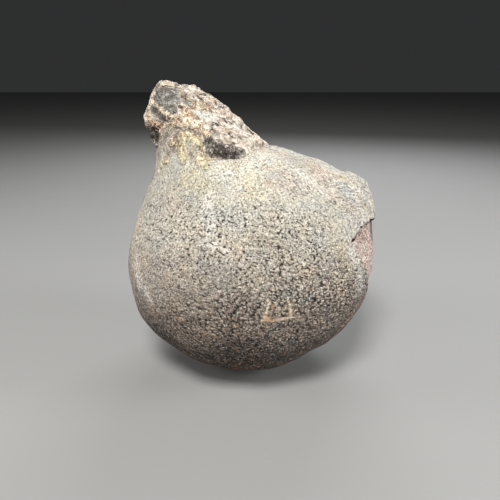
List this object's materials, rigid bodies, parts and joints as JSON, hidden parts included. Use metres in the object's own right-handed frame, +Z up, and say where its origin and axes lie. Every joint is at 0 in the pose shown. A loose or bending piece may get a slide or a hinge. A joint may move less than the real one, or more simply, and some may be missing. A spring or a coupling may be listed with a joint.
{
  "type": "crinoid lobolite fossil",
  "caption": "Pear-shaped fossil crinoid float of pitted grey limestone, its bent neck capped by a lump of rough matrix; stands on a small worn flat as a display specimen.",
  "frame": {"origin": "on the surface it stands on, under the middle of the stone's bounding box", "axes": "+Z up, from the worn flat to the lump on the neck; +X towards the broken side; -Y towards the pitted front"},
  "size_m": [0.119, 0.1078, 0.1371],
  "materials": {
    "fossil_stone": "dry matt stone, finely pitted"
  },
  "bodies": {
    "root": {"lobolite": "fossil_stone"}
  },
  "joints": []
}
